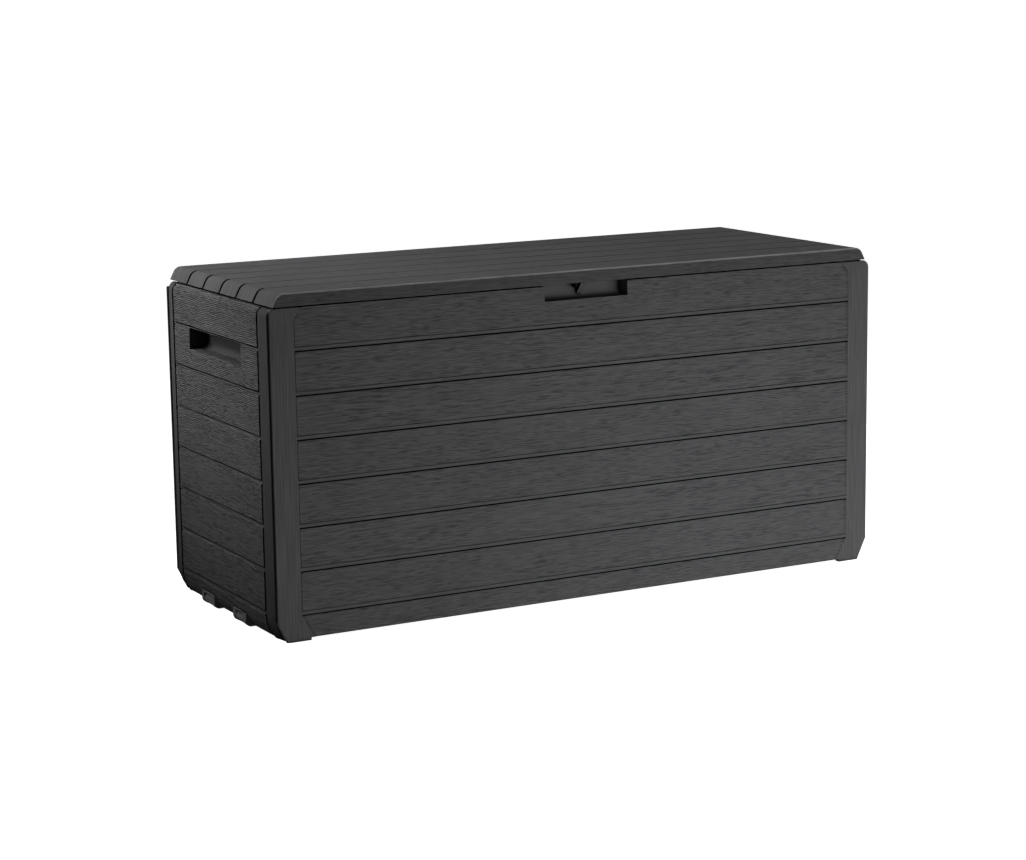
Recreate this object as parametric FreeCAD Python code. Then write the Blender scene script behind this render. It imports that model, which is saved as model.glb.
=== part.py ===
import FreeCAD, Part
import math
import os

# Outdoor storage box: moulded resin panels with a plank pattern, a hinged lid and two small
# wheels under the left end. Millimetres. The origin is at the bottom centre, +X runs along
# the length, the front faces -Y and +Z is up.

# Overall sizes
LENGTH = 1170.0  # front panel from side to side
END_PROUD = 2.5  # how far the end planks stand out past the front panel's sides
DEPTH = 447.0  # front face to rear face
HEIGHT = 572.0  # ground to lid top
LID_DEEP = 23.0  # lid top down to the middle of the seam
SEAM_GAP = 2.5  # open gap between body and lid
FIT = 0.3  # clearance between pieces that slot or seat together
RUN = 0.05  # radial clearance of a pin in its bore

# Walls
SKIN = 5.0  # panel thickness at the posts and bands
RIB = 2.5  # thickness of stiffening ribs
RIB_DEEP = 9.0  # how far panel ribs stand in from the skin

# Outline of the body seen from the front
TUCK_DROP = 12.6  # height over which each end leans in below the rim
TUCK_RADIUS = 13.6
PANEL_EDGE_BEVEL = 2.6  # eased outer edge at both sides of the front and rear panels
CHAMFER_HIGH = 38.0  # slanted foot corner of the posts
CHAMFER_RUN = 18.0
FOOT_LONG = 42.6  # length of a foot on the ground
FOOT_LIFT = 4.5  # panel edge above the ground between the feet
FOOT_DEEP = 11.0
FOOT_THICK = 3.0

# Planks of the front and rear panels
PLANK_PITCH = 72.34
FIRST_SEAM_DROP = 69.95  # body top to the first plank seam
SEAM_BAND = 5.7  # flush band above each seam
PLANK_DEEP = 3.0  # recess at a plank's upper edge
PLANK_SHALLOW = 1.0  # recess at a plank's lower edge
PLANK_BEVEL = 4.3  # width of the slanted border beside the posts
SHADOW_WIDE = 2.2  # deep groove along a plank's upper edge
SHADOW_DEEP = 4.8
SEAM_RIB_WALL = 2.0  # seam rib above, below and behind the deep groove
POST_WIDE = 45.0  # post beside the plank field
FIELD_TOP_KINK = 19.4  # height of the slanted field corners under the rim
FIELD_TOP_RUN = 12.5
FIELD_LOW_KINK = 44.0  # height of the slanted field corners above the feet
FIELD_LOW_RUN = 22.0

# Planks of the end panels
STRIP_WIDE = 27.0  # slanted strip beside the planks
STRIP_DROP = 4.5  # how far the strip's face falls back towards the corner
END_GROOVE_WIDE = 6.0  # groove between a plank's end and the strip
END_GROOVE_DEEP = 4.5
END_BAND_DEEP = 2.25  # recess of the band above each seam
END_LINE_WIDE = 1.5  # the groove narrows to a line where the panel leans in
END_LINE_DEEP = 2.0

# Rim
RIM_THICK = 3.0
RIM_DEEP = 36.0  # front and rear rim, outer face to the lip's inner face
END_RIM_DEEP = 32.0  # the same at the ends
LIP_HIGH = 5.25  # lip above the rim
LIP_SKIRT = 12.75  # lip below the rim
RIM_END_GAP = 15.5  # rim of the long panels stops this far from the panel's side

# Corner joints: a tongue of the end panel in a channel of the front or rear panel
CORNER_GROOVE = 3.5  # open groove seen at the corner
CORNER_BOTTOM = 50.0
CORNER_CAP = 4.5  # the groove is closed over this height below the body top
CORNER_DROP = 32.75  # body top to the upper end of the joint
CHANNEL_DEEP = 12.2  # channel ribs, from the skin inwards
CHANNEL_RIB = 3.0
TONGUE_THICK = 4.4
TONGUE_INSET = 10.3  # front panel's side to the tongue
TONGUE_WEB = 4.0

# Lower edge of the end panels
TURN_RADIUS = 66.0
TURN_START = 44.0
END_LIFT = 2.0  # strips above the ground
END_FIELD_LIFT = 5.5  # planks above the ground
END_FLANGE = 8.0
END_FLANGE_THICK = 3.0

# Floor
FLOOR_TOP = 44.3
FLOOR_THICK = 3.0
FLOOR_GAP = 1.0
LEDGE_THICK = 3.0
LEDGE_DEEP = 12.0
FLOOR_RIB_DEEP = 21.0
FLOOR_RIB_INSET_X = 40.0
FLOOR_RIB_INSET_Y = 16.0
FLOOR_LONG_RIB_COUNT = 3
FLOOR_CROSS_RIB_COUNT = 7

# Panel ribs
LONG_PANEL_RIB_COUNT = 4
END_PANEL_RIB_COUNT = 2
LONG_PANEL_RIB_PITCH = 290.0
END_PANEL_RIB_PITCH = 130.0

# Hand recess in the front panel, with the padlock lugs
HAND_HALF = 81.0
HAND_HIGH = 25.25
HAND_DEEP = 33.0
POCKET_WALL = 3.0
HAND_ROUND = 12.0
LUG_THICK = 8.0
LUG_REACH = 22.5  # lug in front of the recess's back wall
LUG_RISE = 7.25  # lug above the body top
LUG_FLAT = 4.0
LUG_FOOT = 1.5
EYE_RADIUS = 4.25
EYE_OUT = 10.0  # eye in front of the back wall
EYE_RISE = 0.25  # eye above the body top
LID_LUG_THICK = 4.0
LID_LUG_SPACE = 5.0
LID_LUG_WALL = 3.75

# Lifting pockets in the end panels
GRIP_HALF = 113.0
GRIP_TOP_DROP = 68.25
GRIP_HIGH = 36.2
GRIP_DEEP = 32.5
GRIP_ROUND = 14.0

# Lid
LID_INSET = 8.3  # lid end inside the front panel's side
LID_WALL = 3.5
APRON = 4.0
CROWN_RADIUS = 16.0
CROWN_RUN = 21.0  # lid end back to where its top is flat
LID_EDGE_ROUND = 3.0  # front edge of the lid
SLIT_COUNT = 5
SLIT_WIDE = 4.0
SLIT_DEEP = 5.0
SLIT_LIFT = 4.5
SLIT_WALL = 3.0
GROOVE_WIDE = 3.0
GROOVE_DEEP = 0.5
LID_CROSS_RIB_COUNT = 4
LID_CROSS_RIB_PITCH = 250.0
LID_LONG_RIB_COUNT = 2
LID_LONG_RIB_PITCH = 190.0
LID_RIB_END_X = 30.0
LID_RIB_END_Y = 17.5

# Hinge
HINGE_INSET = 8.0  # hinge axis to the rear face
OPEN_ANGLE = 100.0
STOP_GAP = 0.4
HINGE_PITCH = 400.0
HINGE_PLACES = (-1, 0, 1)
HINGE_NAMES = ("left", "middle", "right")
BARREL_RADIUS = 7.0
PIN_RADIUS = 3.0
KNUCKLE_LONG = 30.0
EAR_LONG = 12.0
HINGE_SIDE_GAP = 1.0
PIN_HEAD_RADIUS = 5.0
PIN_HEAD_THICK = 2.0
NOTCH_SIDE = 2.0
NOTCH_HIGH = 12.0
STRIP_DEEP = 16.0  # lowered rear rim, from the rear face inwards

# Wheels
WHEEL_OFFSET = 70.0
HOUSING_WIDE = 56.0
CHEEK = 10.0
HOOD_TOP = 25.0
HOOD_THICK = 2.2
HOUSING_ROUND = 9.5
HOUSING_DEEP = 24.0
HOUSING_BACK = 3.0
HOUSING_FLANGE = 2.5
HOUSING_WING = 4.0
HOUSING_RISE = 5.0
WHEEL_RADIUS = 9.8
WHEEL_GAP = 0.6  # wheel to hood and to the outer face
WHEEL_SIDE_GAP = 1.0
WHEEL_GROOVE_COUNT = 14
WHEEL_GROOVE_WIDE = 1.2
WHEEL_GROOVE_DEEP = 0.7
AXLE_RADIUS = 2.5
AXLE_SEAT = 7.0  # axle in each cheek

# Places that follow from the sizes
HALF = LENGTH / 2
END_FACE = HALF + END_PROUD
FRONT = -DEPTH / 2
SEAM = HEIGHT - LID_DEEP
BODY_TOP = SEAM - SEAM_GAP / 2
LID_BOTTOM = SEAM + SEAM_GAP / 2
TUCK_START = BODY_TOP - TUCK_DROP
TUCK_ANGLE = math.asin(TUCK_DROP / TUCK_RADIUS)
TUCK_RUN = TUCK_RADIUS * (1 - math.cos(TUCK_ANGLE))
TURN_ANGLE = math.asin((TURN_START - END_LIFT) / TURN_RADIUS)
FOOT_OUT = HALF - CHAMFER_RUN
FOOT_IN = FOOT_OUT - FOOT_LONG
RIM_HALF = HALF - RIM_END_GAP
LIP_TOP = BODY_TOP + LIP_HIGH
LIP_BOTTOM = BODY_TOP - LIP_SKIRT
LID_HALF = HALF - LID_INSET
SEAM_RIB_DEEP = SHADOW_DEEP + SEAM_RIB_WALL - SKIN
END_THICK = END_PROUD + SKIN
END_SIDE = DEPTH / 2 - SKIN - CORNER_GROOVE
STRIP_SIDE = END_SIDE - STRIP_WIDE
PLANK_SIDE = STRIP_SIDE - END_GROOVE_WIDE
CORNER_TOP = BODY_TOP - CORNER_DROP
LEDGE_TOP = FLOOR_TOP - FLOOR_THICK - FIT
HINGE_Y = DEPTH / 2 - HINGE_INSET
STRIP_TOP = SEAM - HINGE_INSET * math.tan(math.radians(OPEN_ANGLE / 2)) - STOP_GAP
STRIP_IN = DEPTH / 2 - STRIP_DEEP
HAND_BACK = FRONT + HAND_DEEP
EYE_Y = HAND_BACK - EYE_OUT
EYE_Z = BODY_TOP + EYE_RISE
PAST = 1.0  # how far a cutting tool reaches past what it cuts


def point(x, y, z):
    return FreeCAD.Vector(x, y, z)


def box(x, y, z):
    """A box from three pairs of limits."""
    size = (x[1] - x[0], y[1] - y[0], z[1] - z[0])
    return Part.makeBox(size[0], size[1], size[2], point(x[0], y[0], z[0]))


def rod(radius, centre, along, length):
    """A cylinder whose middle is at centre."""
    start = centre - along * (length / 2)
    return Part.makeCylinder(radius, length, start, along)


def fused(shapes):
    return shapes[0].multiFuse(shapes[1:]).removeSplitter()


def both_ends(shape):
    """The shape and its mirror image across the middle of the length."""
    return [shape, shape.mirror(point(0, 0, 0), point(1, 0, 0))]


def spread(count, pitch):
    """Evenly spaced places, centred on zero."""
    return [pitch * (i - (count - 1) / 2) for i in range(count)]


def polygon(points):
    """Straight edges through the points, not closed."""
    return [Part.LineSegment(a, b).toShape() for a, b in zip(points, points[1:])]


def prism(edges, along):
    """A solid from edges that close an outline."""
    wire = Part.Wire(Part.__sortEdges__(edges))
    return Part.Face(wire).extrude(along)


def arc_about(centre_u, centre_z, radius, angles, place):
    """An arc about a centre from one angle to another; place turns (u, z) into a point."""
    ends = []
    for angle in (angles[0], (angles[0] + angles[1]) / 2, angles[1]):
        u = centre_u + radius * math.cos(angle)
        ends.append(place(u, centre_z + radius * math.sin(angle)))
    return Part.Arc(*ends).toShape(), ends[0], ends[2]


def long_outline():
    """The front panel's outline as a flat face, at its front."""
    def place(u, z):
        return point(u, FRONT, z)

    def mirrored(u, z):
        return point(-u, FRONT, z)

    swept = (0, TUCK_ANGLE)
    right, right_low, right_top = arc_about(HALF - TUCK_RADIUS, TUCK_START, TUCK_RADIUS, swept, place)
    left, left_low, left_top = arc_about(HALF - TUCK_RADIUS, TUCK_START, TUCK_RADIUS, swept, mirrored)
    low = [
        left_low,
        place(-HALF, CHAMFER_HIGH),
        place(-FOOT_OUT, 0),
        place(-FOOT_IN, 0),
        place(-FOOT_IN, FOOT_LIFT),
        place(FOOT_IN, FOOT_LIFT),
        place(FOOT_IN, 0),
        place(FOOT_OUT, 0),
        place(HALF, CHAMFER_HIGH),
        right_low,
    ]
    edges = polygon(low) + [right, left] + polygon([right_top, left_top])
    return Part.Face(Part.Wire(Part.__sortEdges__(edges)))


def long_skin():
    """Plate of the front panel's outline, with its side edges eased."""
    plate = long_outline().extrude(point(0, SKIN, 0))
    edges = []
    for edge in plate.Edges:
        at_front = edge.BoundBox.YMax < FRONT + FIT
        if at_front and edge.CenterOfMass.x < -FOOT_OUT:
            edges.append(edge)
    left, right = both_ends(plate.makeChamfer(PANEL_EDGE_BEVEL, edges))
    return left.common(right)


def seam_heights():
    """Heights of the plank seams, from the top down."""
    heights = []
    seam = BODY_TOP - FIRST_SEAM_DROP
    while seam > END_LIFT:
        heights.append(seam)
        seam -= PLANK_PITCH
    return heights


def plank_rows(highest, lowest):
    """Bottom and top heights of each plank, from the rim down."""
    tops = [highest] + seam_heights()
    bottoms = [seam + SEAM_BAND for seam in seam_heights()] + [lowest]
    return list(zip(bottoms, tops))


def long_plank(low, top):
    """Recess of one plank of the front panel: deeper upwards, with a groove along its upper edge."""
    section = [
        (-PAST, low),
        (PLANK_SHALLOW, low),
        (PLANK_DEEP, top - SHADOW_WIDE),
        (SHADOW_DEEP, top - SHADOW_WIDE),
        (SHADOW_DEEP, top),
        (-PAST, top),
        (-PAST, low),
    ]
    corners = [point(-HALF, FRONT + deep, z) for deep, z in section]
    return prism(polygon(corners), point(2 * HALF, 0, 0))


def plank_field(y):
    """Outline of the plank field of a long panel at depth y, narrower as it goes in."""
    inset = PLANK_BEVEL * (y - FRONT) / PLANK_DEEP
    half = HALF - POST_WIDE - inset
    top = BODY_TOP + 2 * PAST
    low = FOOT_LIFT - 2 * PAST
    kink = BODY_TOP - FIELD_TOP_KINK
    top_run = FIELD_TOP_RUN * (top - kink) / FIELD_TOP_KINK
    low_run = FIELD_LOW_RUN * (FIELD_LOW_KINK - low) / (FIELD_LOW_KINK - FOOT_LIFT)
    side = [(half - low_run, low), (half, FIELD_LOW_KINK), (half, kink), (half - top_run, top)]
    around = side + [(-x, z) for x, z in reversed(side)] + side[:1]
    return Part.Wire(polygon([point(x, y, z) for x, z in around]))


def long_planks():
    """All plank recesses of a long panel, as cutting tools."""
    wires = [plank_field(FRONT - PAST), plank_field(FRONT + SHADOW_DEEP + PAST)]
    field = Part.makeLoft(wires, True, True)
    rows = plank_rows(BODY_TOP + SHADOW_WIDE + PAST, FOOT_LIFT - PAST)
    return [long_plank(low, top).common(field) for low, top in rows]


def seam_ribs():
    """Ribs along the inside of a long panel, behind the deep groove of each seam."""
    half = HALF - POST_WIDE
    deep = (FRONT + SKIN - PAST, FRONT + SKIN + SEAM_RIB_DEEP)
    ribs = []
    for seam in seam_heights():
        high = (seam - SHADOW_WIDE - SEAM_RIB_WALL, seam + SEAM_RIB_WALL)
        ribs.append(box((-half, half), deep, high))
    return ribs


def pocket(face, deep, low, top, half, rounded):
    """A pocket that runs in from the face, round where its back meets its bottom."""
    def place(u, z):
        return point(-half, u, z)

    back = face + deep
    corner = (1.5 * math.pi, 2 * math.pi)
    bend, start, end = arc_about(back - rounded, low + rounded, rounded, corner, place)
    rest = [end, place(back, top), place(face, top), place(face, low), start]
    return prism([bend] + polygon(rest), point(2 * half, 0, 0))


def padlock_lug():
    """Triangular lug on the back wall of the hand recess, with the padlock eye."""
    root = HAND_BACK + POCKET_WALL / 2
    reach = HAND_BACK - LUG_REACH
    top = BODY_TOP + LUG_RISE
    corners = [
        point(-LUG_THICK / 2, root, BODY_TOP - HAND_HIGH + LUG_FOOT),
        point(-LUG_THICK / 2, HAND_BACK, BODY_TOP - HAND_HIGH + LUG_FOOT),
        point(-LUG_THICK / 2, reach, top - LUG_FLAT),
        point(-LUG_THICK / 2, reach + LUG_FLAT / 2, top),
        point(-LUG_THICK / 2, root, top),
        point(-LUG_THICK / 2, root, BODY_TOP - HAND_HIGH + LUG_FOOT),
    ]
    lug = prism(polygon(corners), point(LUG_THICK, 0, 0))
    eye = rod(EYE_RADIUS, point(0, EYE_Y, EYE_Z), point(1, 0, 0), LUG_THICK + 2 * PAST)
    return lug.cut(eye)


def long_channel():
    """The two ribs that hold an end panel's tongue, at the right-hand corner."""
    outer_face = HALF - TONGUE_INSET + FIT
    inner_face = HALF - TONGUE_INSET - TONGUE_THICK - FIT
    deep = (FRONT + SKIN - PAST, FRONT + SKIN + CHANNEL_DEEP)
    high = (CORNER_BOTTOM, CORNER_TOP)
    outer = box((outer_face, outer_face + CHANNEL_RIB), deep, high)
    inner = box((inner_face - CHANNEL_RIB, inner_face), deep, high)
    return both_ends(outer) + both_ends(inner)


def long_panel():
    """Front panel without its hand recess. The rear panel is the same, turned round."""
    inner = FRONT + SKIN
    cap = long_outline().extrude(point(0, SKIN + CORNER_GROOVE - FIT, 0))
    cap = cap.common(box((RIM_HALF - PAST, HALF), (inner - PAST, 0), (BODY_TOP - CORNER_CAP, BODY_TOP)))
    rim_deep = (FRONT, FRONT + RIM_DEEP)
    rim = box((-RIM_HALF, RIM_HALF), rim_deep, (BODY_TOP - RIM_THICK, BODY_TOP))
    rim = rim.cut(box((-RIM_HALF, RIM_HALF), (FRONT, FRONT + PLANK_DEEP), (0, HEIGHT)))
    lip_deep = (FRONT + RIM_DEEP - RIM_THICK, FRONT + RIM_DEEP)
    lip = box((-RIM_HALF, RIM_HALF), lip_deep, (LIP_BOTTOM, LIP_TOP))
    ledge_half = HALF - TONGUE_INSET - TONGUE_THICK - FIT - CHANNEL_RIB
    ledge = box(
        (-ledge_half, ledge_half),
        (inner - PAST, inner + LEDGE_DEEP),
        (LEDGE_TOP - LEDGE_THICK, LEDGE_TOP),
    )
    hem = box((-FOOT_IN, FOOT_IN), (inner - PAST, inner + RIB_DEEP), (FOOT_LIFT, FOOT_LIFT + RIM_THICK))
    foot = box(
        (FOOT_IN, FOOT_OUT - FOOT_THICK),
        (FRONT + SKIN / 2, FRONT + FOOT_DEEP),
        (0, FOOT_THICK),
    )
    pieces = [long_skin().cut(long_planks()), rim, lip, ledge, hem]
    pieces += both_ends(cap) + both_ends(foot) + long_channel() + seam_ribs()
    for x in spread(LONG_PANEL_RIB_COUNT, LONG_PANEL_RIB_PITCH):
        deep = (inner - PAST, inner + RIB_DEEP)
        high = (FLOOR_TOP + FIT, BODY_TOP - RIM_THICK / 2)
        pieces.append(box((x - RIB / 2, x + RIB / 2), deep, high))
    return fused(pieces)


def front_panel():
    low = BODY_TOP - HAND_HIGH
    wall = POCKET_WALL
    shell = pocket(
        FRONT + PLANK_DEEP, HAND_DEEP + wall - PLANK_DEEP, low - wall, BODY_TOP,
        HAND_HALF + wall, HAND_ROUND + wall,
    )
    hollow = pocket(FRONT - PAST, HAND_DEEP + PAST, low, BODY_TOP + PAST, HAND_HALF, HAND_ROUND)
    back = box((-HAND_HALF, HAND_HALF), (HAND_BACK, HAND_BACK + wall), (BODY_TOP - wall, LIP_TOP))
    panel = fused([long_panel(), shell]).cut(hollow)
    return fused([panel, back, padlock_lug()])


def hinge_barrel(x, long):
    """A length of hinge barrel on the axis."""
    return rod(BARREL_RADIUS, point(x, HINGE_Y, SEAM), point(1, 0, 0), long)


def ear_places(x):
    """Middles of the two ears beside a knuckle."""
    step = KNUCKLE_LONG / 2 + HINGE_SIDE_GAP + EAR_LONG / 2
    return (x - step, x + step)


def rear_panel():
    """The long panel turned round, with a lowered rim and ears for the hinge pins."""
    panel = long_panel()
    panel.rotate(point(0, 0, 0), point(0, 0, 1), 180)
    lowered = box((-HALF, HALF), (STRIP_IN, DEPTH / 2 + PAST), (STRIP_TOP, LIP_TOP + PAST))
    deep = (STRIP_IN - RIM_THICK, DEPTH / 2 - SKIN / 2)
    step = box((-RIM_HALF, RIM_HALF), deep, (STRIP_TOP - RIM_THICK, STRIP_TOP))
    riser = box((-RIM_HALF, RIM_HALF), (STRIP_IN - RIM_THICK, STRIP_IN), (STRIP_TOP - RIM_THICK, BODY_TOP))
    pieces = [panel.cut(lowered), step, riser]
    bores = []
    for place in HINGE_PLACES:
        for x in ear_places(place * HINGE_PITCH):
            sides = (x - EAR_LONG / 2, x + EAR_LONG / 2)
            neck_deep = (STRIP_IN - RIM_THICK / 2, HINGE_Y + BARREL_RADIUS)
            low_deep = (HINGE_Y - BARREL_RADIUS, HINGE_Y + BARREL_RADIUS)
            pieces.append(box(sides, neck_deep, (STRIP_TOP - RIM_THICK / 2, BODY_TOP)))
            pieces.append(box(sides, low_deep, (BODY_TOP - PAST, SEAM)))
            pieces.append(hinge_barrel(x, EAR_LONG))
            bores.append(rod(PIN_RADIUS + RUN, point(x, HINGE_Y, SEAM), point(1, 0, 0), EAR_LONG + 2 * PAST))
    return fused(pieces).cut(bores)


def hinge_pin(x):
    """Pin through both ears and the knuckle, with a flat head at its left end."""
    long = KNUCKLE_LONG + 2 * (HINGE_SIDE_GAP + EAR_LONG)
    shank = rod(PIN_RADIUS, point(x - FIT / 2, HINGE_Y, SEAM), point(1, 0, 0), long + FIT)
    head_x = x - long / 2 - FIT - PIN_HEAD_THICK / 2
    head = rod(PIN_HEAD_RADIUS, point(head_x, HINGE_Y, SEAM), point(1, 0, 0), PIN_HEAD_THICK)
    return fused([shank, head])


def end_section(outer, inner, x):
    """Outline of an end panel's layer at x, between two insets from its outer face."""
    def place(u, z):
        return point(x, u, z)

    def side_curve(inset):
        """Turned under at the bottom, upright, leaning in at the top."""
        face = -END_FACE + inset
        under = (math.pi + TURN_ANGLE, math.pi)
        leaning = (math.pi, math.pi - TUCK_ANGLE)
        low_arc, low_end, start = arc_about(face + TURN_RADIUS, TURN_START, TURN_RADIUS, under, place)
        high_arc, end, top_end = arc_about(face + TUCK_RADIUS, TUCK_START, TUCK_RADIUS, leaning, place)
        return [low_arc] + polygon([start, end]) + [high_arc], low_end, top_end

    outside, outside_low, outside_top = side_curve(outer)
    inside, inside_low, inside_top = side_curve(inner)
    return outside + polygon([outside_top, inside_top]) + inside + polygon([inside_low, outside_low])


def end_band(outer, inner, half):
    """The layer of an end panel between two insets, over the middle of its width."""
    return prism(end_section(outer, inner, -half), point(2 * half, 0, 0))


def end_strips():
    """The strips beside the planks, which slant back towards the corners."""
    wires = []
    for inset, x in ((0, STRIP_SIDE), (STRIP_DROP, END_SIDE)):
        wires.append(Part.Wire(Part.__sortEdges__(end_section(inset, END_THICK, x))))
    return both_ends(Part.makeLoft(wires, True, True))


def end_band_recess(seam):
    """Recess above a seam: undercut at the plank above it, sloped off at the plank below it."""
    section = [
        (-PAST, seam + SEAM_BAND),
        (END_BAND_DEEP, seam + SEAM_BAND),
        (END_BAND_DEEP, seam),
        (-PAST, seam - END_BAND_DEEP - PAST),
        (-PAST, seam + SEAM_BAND),
    ]
    corners = [point(-STRIP_SIDE, -END_FACE + deep, z) for deep, z in section]
    return prism(polygon(corners), point(2 * STRIP_SIDE, 0, 0))


def end_grooves():
    """Grooves between the plank ends and the strips, with a fine line over the leaning part."""
    room_deep = (-END_FACE - 2 * PAST, -HALF + RIM_END_GAP)
    rooms = []
    for low, top in plank_rows(TUCK_START, END_LIFT - PAST):
        rooms += both_ends(box((PLANK_SIDE, STRIP_SIDE), room_deep, (low, top)))
    grooves = end_band(-PAST, END_GROOVE_DEEP, END_SIDE).common(rooms)
    middle = (PLANK_SIDE + STRIP_SIDE) / 2
    line_wide = (middle - END_LINE_WIDE / 2, middle + END_LINE_WIDE / 2)
    line_rooms = both_ends(box(line_wide, room_deep, (TUCK_START - PAST, BODY_TOP + PAST)))
    lines = end_band(-PAST, END_LINE_DEEP, END_SIDE).common(line_rooms)
    return [grooves, lines]


def end_tongue():
    """Tongue that slides into the channel of a front or rear panel."""
    inner = -HALF + TONGUE_INSET
    reach = DEPTH / 2 - SKIN - FIT
    start = DEPTH / 2 - SKIN - CHANNEL_DEEP - FIT - TONGUE_WEB
    high = (CORNER_BOTTOM, CORNER_TOP)
    web = box((start, start + TONGUE_WEB), (-HALF + SKIN / 2, inner + TONGUE_THICK), high)
    tongue = box((start, reach), (inner, inner + TONGUE_THICK), high)
    return both_ends(web) + both_ends(tongue)


def end_panel():
    """End panel with its outer face towards -Y; it is turned to its own end afterwards."""
    inner = -END_FACE + END_THICK
    recesses = [end_band_recess(seam) for seam in seam_heights()] + end_grooves()
    recesses.append(box((-STRIP_SIDE, STRIP_SIDE), (-END_FACE, 0), (0, END_FIELD_LIFT)))
    skin = fused([end_band(0, END_THICK, STRIP_SIDE)] + end_strips()).cut(recesses)
    rim_side = DEPTH / 2 - RIM_DEEP - FIT
    rim_start = -END_FACE + TUCK_RUN + END_THICK - PAST
    rim_deep = (rim_start, -HALF + END_RIM_DEEP)
    lip_deep = (-HALF + END_RIM_DEEP - RIM_THICK, -HALF + END_RIM_DEEP)
    rim = box((-rim_side, rim_side), rim_deep, (BODY_TOP - RIM_THICK, BODY_TOP))
    lip = box((-rim_side, rim_side), lip_deep, (LIP_BOTTOM, LIP_TOP))
    ledge_side = DEPTH / 2 - SKIN - LEDGE_DEEP - 2 * FIT
    ledge_deep = (inner - PAST, inner + LEDGE_DEEP)
    ledge = box((-ledge_side, ledge_side), ledge_deep, (LEDGE_TOP - LEDGE_THICK, LEDGE_TOP))
    turned = math.asin((TURN_START - END_FIELD_LIFT) / TURN_RADIUS)
    low_inner = -END_FACE + TURN_RADIUS * (1 - math.cos(turned)) + END_THICK
    flange_deep = (low_inner - END_THICK / 2, low_inner + END_FLANGE)
    flange_high = (END_FIELD_LIFT, END_FIELD_LIFT + END_FLANGE_THICK)
    flange = box((-ledge_side, ledge_side), flange_deep, flange_high)
    pieces = [skin, rim, lip, ledge, flange] + end_tongue()
    for x in spread(END_PANEL_RIB_COUNT, END_PANEL_RIB_PITCH):
        deep = (inner - PAST, inner + RIB_DEEP)
        high = (FLOOR_TOP + FIT, TUCK_START)
        pieces.append(box((x - RIB / 2, x + RIB / 2), deep, high))
    top = BODY_TOP - GRIP_TOP_DROP
    low = top - GRIP_HIGH
    wall = POCKET_WALL
    shell = pocket(
        -END_FACE + END_GROOVE_DEEP, GRIP_DEEP + wall - END_GROOVE_DEEP, low - wall, top + wall,
        GRIP_HALF + wall, GRIP_ROUND + wall,
    )
    hollow = pocket(-END_FACE - PAST, GRIP_DEEP + PAST, low, top, GRIP_HALF, GRIP_ROUND)
    return fused(pieces + [shell]).cut(hollow)


def wheel_windows():
    """Openings in the left end panel for the wheel housings, in the end panel's own place."""
    tools = []
    for side in (-1, 1):
        middle = side * WHEEL_OFFSET
        half = HOUSING_WIDE / 2 + FIT
        window = box(
            (middle - half, middle + half),
            (-END_FACE - PAST, -END_FACE + HOUSING_DEEP + HOUSING_FLANGE),
            (END_LIFT - PAST, HOOD_TOP + FIT),
        )
        wing = HOUSING_WIDE / 2 + HOUSING_WING + FIT
        back = box(
            (middle - wing, middle + wing),
            (-END_FACE + HOUSING_DEEP - FIT, -END_FACE + HOUSING_DEEP + 2 * HOUSING_FLANGE + END_FLANGE),
            (END_LIFT - PAST, END_FIELD_LIFT + END_FLANGE_THICK + PAST),
        )
        tools += [window, back]
    return tools


def left_end_panel():
    panel = end_panel().cut(wheel_windows())
    panel.rotate(point(0, 0, 0), point(0, 0, 1), -90)
    return panel


def right_end_panel():
    panel = end_panel()
    panel.rotate(point(0, 0, 0), point(0, 0, 1), 90)
    return panel


def floor_panel():
    """Flat floor with a grid of ribs below, resting on the ledges of the four walls."""
    half_x = HALF - SKIN - FLOOR_GAP
    half_y = DEPTH / 2 - SKIN - SEAM_RIB_DEEP - FLOOR_GAP
    high = (FLOOR_TOP - FLOOR_THICK, FLOOR_TOP)
    pieces = [box((-half_x, half_x), (-half_y, half_y), high)]
    rib_x = half_x - FLOOR_RIB_INSET_X
    rib_y = half_y - FLOOR_RIB_INSET_Y
    rib_high = (high[0] - FLOOR_RIB_DEEP, high[0] + PAST)
    for y in spread(FLOOR_LONG_RIB_COUNT, (2 * rib_y - RIB) / (FLOOR_LONG_RIB_COUNT - 1)):
        pieces.append(box((-rib_x, rib_x), (y - RIB / 2, y + RIB / 2), rib_high))
    for x in spread(FLOOR_CROSS_RIB_COUNT, (2 * rib_x - RIB) / (FLOOR_CROSS_RIB_COUNT - 1)):
        pieces.append(box((x - RIB / 2, x + RIB / 2), (-rib_y, rib_y), rib_high))
    return fused(pieces)


def lid_section(inset, low, sides):
    """The lid's length section, inset from its outer face, pulled through the given sides."""
    def place(u, z):
        return point(u, sides[0], z)

    def mirrored(u, z):
        return point(-u, sides[0], z)

    centre_x = LID_HALF - CROWN_RUN
    centre_z = HEIGHT - CROWN_RADIUS
    across = LID_HALF - centre_x
    down = LID_BOTTOM - centre_z
    reach = math.hypot(across, down)
    lean = math.atan2(down, across) + math.acos(CROWN_RADIUS / reach)
    radius = CROWN_RADIUS - inset
    swept = (lean, math.pi / 2)
    right, right_low, right_top = arc_about(centre_x, centre_z, radius, swept, place)
    left, left_low, left_top = arc_about(centre_x, centre_z, radius, swept, mirrored)
    foot_x = right_low.x + (right_low.z - low) * math.tan(lean)
    edges = polygon([left_low, place(-foot_x, low), place(foot_x, low), right_low])
    edges += [right, left] + polygon([right_top, left_top])
    return prism(edges, point(0, sides[1] - sides[0], 0))


def lid_layer(outer, inner, middle, half):
    """Slab across the lid between two insets, about one slit."""
    outside = lid_section(outer, LID_BOTTOM - PAST, (middle - half, middle + half))
    inside = lid_section(inner, LID_BOTTOM - 2 * PAST, (middle - half - PAST, middle + half + PAST))
    return outside.cut(inside)


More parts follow.
